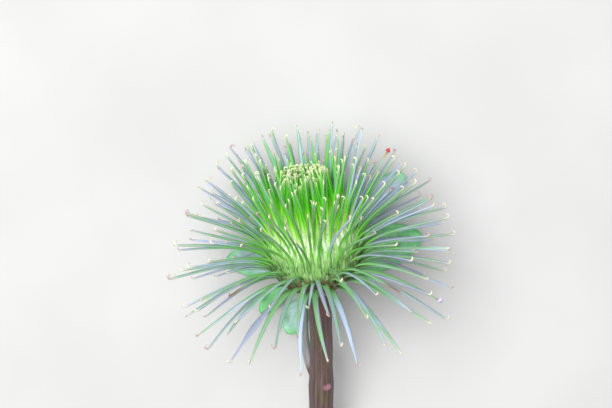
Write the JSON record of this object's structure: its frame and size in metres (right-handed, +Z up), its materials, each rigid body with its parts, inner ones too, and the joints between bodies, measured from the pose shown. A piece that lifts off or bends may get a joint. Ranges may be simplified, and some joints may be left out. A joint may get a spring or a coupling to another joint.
{
  "type": "burdock flower head",
  "caption": "Round burdock flower head in bud, covered in long hooked bracts, lying on its side with a short cut stem and a small side shoot of leaves",
  "frame": {"origin": "centre of the bounding box at its bottom, on the surface that the part lies on", "axes": "+Z up from the surface; +Y along the part, from the cut end of the stem towards the crown of the head; +X to the right of the head as seen from above with its crown at the top"},
  "size_m": [0.0432, 0.0689, 0.0401],
  "materials": {
    "fresh_green": "satin",
    "sea_green": "matte with a grey-blue bloom",
    "stem_brown": "matte",
    "leaf_green": "matte"
  },
  "bodies": {
    "root": {"inner_bracts": "fresh_green", "outer_bracts": "sea_green", "stem": "stem_brown", "leaf_right": "leaf_green", "leaf_upper_right": "leaf_green", "leaf_left": "leaf_green", "leaf_lower_left": "leaf_green", "leaf_low": "leaf_green"}
  },
  "joints": []
}
